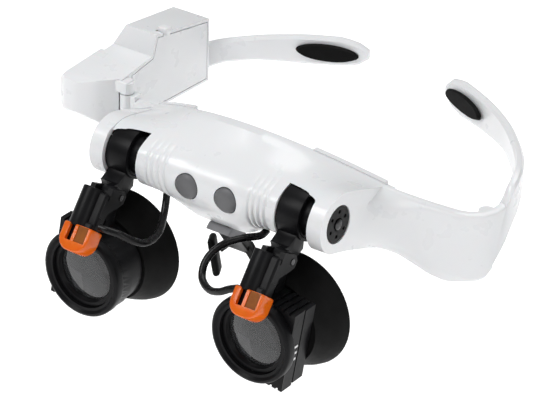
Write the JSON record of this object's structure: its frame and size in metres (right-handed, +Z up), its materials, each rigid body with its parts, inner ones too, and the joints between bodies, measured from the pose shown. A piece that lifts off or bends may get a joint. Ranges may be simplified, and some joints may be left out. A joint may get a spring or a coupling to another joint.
{
  "type": "head visor magnifier",
  "caption": "Head-worn magnifier: a white visor bar with folding temple arms and a battery case, and flip-up loupes with lamps hanging below it.",
  "frame": {"origin": "middle of the nose pads' resting surface, on the mirror plane of the visor bar", "axes": "+X to the wearer's left, +Y backwards towards the wearer, +Z up"},
  "size_m": [0.1621, 0.1425, 0.0689],
  "materials": {
    "white_plastic": "gloss",
    "black_plastic": "satin",
    "black_rubber": "matte",
    "grey_rubber": "matte",
    "nose_bracket_plastic": "translucent grey",
    "orange_cap": "translucent orange",
    "lens_glass": "clear, coated",
    "steel": "bright",
    "circuit_board": "satin",
    "led": "clear",
    "battery_sleeve": "printed sleeve",
    "cable_jacket": "satin"
  },
  "bodies": {
    "visor": {"front_shell": "white_plastic", "rear_cover": "white_plastic", "circuit_board": "circuit_board", "nose_bracket": "nose_bracket_plastic", "hinge_pin_left": "steel", "hinge_pin_right": "steel", "nose_pad_left": "black_rubber", "shaft_left": "black_plastic", "end_cap_left": "black_plastic", "end_screw_left": "steel", "switch_left": "black_plastic", "nose_pad_right": "black_rubber", "shaft_right": "black_plastic", "end_cap_right": "black_plastic", "end_screw_right": "steel", "switch_right": "black_plastic", "cable_left": "cable_jacket", "cable_right": "cable_jacket"},
    "button_left_body": {"button_left": "grey_rubber"},
    "left_slider": {"slide_bush_left": "black_plastic"},
    "left_clip": {"clip_left": "black_plastic", "set_screw_left": "steel", "lens_holder_left": "black_plastic", "eyecup_left": "black_rubber", "lamp_pin_left": "steel"},
    "left_lamp": {"lamp_housing_left": "black_plastic", "lamp_cap_left": "orange_cap", "led_left": "led"},
    "left_cartridge": {"lens_cartridge_left": "black_plastic", "front_lens_left": "lens_glass", "rear_lens_left": "lens_glass", "retaining_ring_left": "black_plastic"},
    "button_right_body": {"button_right": "grey_rubber"},
    "right_slider": {"slide_bush_right": "black_plastic"},
    "right_clip": {"clip_right": "black_plastic", "set_screw_right": "steel", "lens_holder_right": "black_plastic", "eyecup_right": "black_rubber", "lamp_pin_right": "steel"},
    "right_lamp": {"lamp_housing_right": "black_plastic", "lamp_cap_right": "orange_cap", "led_right": "led"},
    "right_cartridge": {"lens_cartridge_right": "black_plastic", "front_lens_right": "lens_glass", "rear_lens_right": "lens_glass", "retaining_ring_right": "black_plastic"},
    "left_temple": {"left_arm": "white_plastic", "arm_pad_left": "black_rubber"},
    "right_temple": {"battery_case": "white_plastic", "right_arm": "white_plastic", "arm_pad_right": "black_rubber", "battery_upper": "battery_sleeve", "battery_lower": "battery_sleeve", "battery_contacts": "steel"},
    "case_door": {"battery_cover": "white_plastic"}
  },
  "joints": [
    {"name": "button_left_press", "type": "slide", "parent": "visor", "child": "button_left_body", "axis": [0, 1, 0], "range_m": [0, 0.0008], "stiffness_N_per_m": 400},
    {"name": "left_unit_slide", "type": "slide", "parent": "visor", "child": "left_slider", "axis": [1, 0, 0], "range_m": [0, 0.0038], "deforming": ["cable_left"]},
    {"name": "left_unit_flip", "type": "hinge", "parent": "left_slider", "child": "left_clip", "pos_m": [0.0311, -0.01, 0.032], "axis": [1, 0, 0], "range_deg": [-85, 0], "deforming": ["cable_left"]},
    {"name": "left_lamp_tilt", "type": "hinge", "parent": "left_clip", "child": "left_lamp", "pos_m": [0.0339, -0.0246, 0.0232], "axis": [1, 0, 0], "range_deg": [-30, 0], "deforming": ["cable_left"]},
    {"name": "left_cartridge_slide", "type": "slide", "parent": "left_clip", "child": "left_cartridge", "axis": [0.9877, 0, -0.1564], "range_m": [0, 0.03]},
    {"name": "button_right_press", "type": "slide", "parent": "visor", "child": "button_right_body", "axis": [0, 1, 0], "range_m": [0, 0.0008], "stiffness_N_per_m": 400},
    {"name": "right_unit_slide", "type": "slide", "parent": "visor", "child": "right_slider", "axis": [1, 0, 0], "range_m": [0, 0.0038], "deforming": ["cable_right"]},
    {"name": "right_unit_flip", "type": "hinge", "parent": "right_slider", "child": "right_clip", "pos_m": [-0.0349, -0.01, 0.032], "axis": [1, 0, 0], "range_deg": [-85, 0], "deforming": ["cable_right"]},
    {"name": "right_lamp_tilt", "type": "hinge", "parent": "right_clip", "child": "right_lamp", "pos_m": [-0.0321, -0.0246, 0.0232], "axis": [1, 0, 0], "range_deg": [-30, 0], "deforming": ["cable_right"]},
    {"name": "right_cartridge_slide", "type": "slide", "parent": "right_clip", "child": "right_cartridge", "axis": [-0.9877, 0, 0.1564], "range_m": [0, 0.03]},
    {"name": "left_temple_fold", "type": "hinge", "parent": "visor", "child": "left_temple", "pos_m": [0.0692, 0.0366, 0.016], "axis": [0, 0, 1], "range_deg": [0, 45]},
    {"name": "right_temple_fold", "type": "hinge", "parent": "visor", "child": "right_temple", "pos_m": [-0.0629, 0.0236, 0.026], "axis": [0, 0, 1], "range_deg": [-28, 0]},
    {"name": "case_door_open", "type": "hinge", "parent": "right_temple", "child": "case_door", "pos_m": [-0.064, 0.048, 0.0172], "axis": [0, 1, 0], "range_deg": [0, 70]}
  ]
}
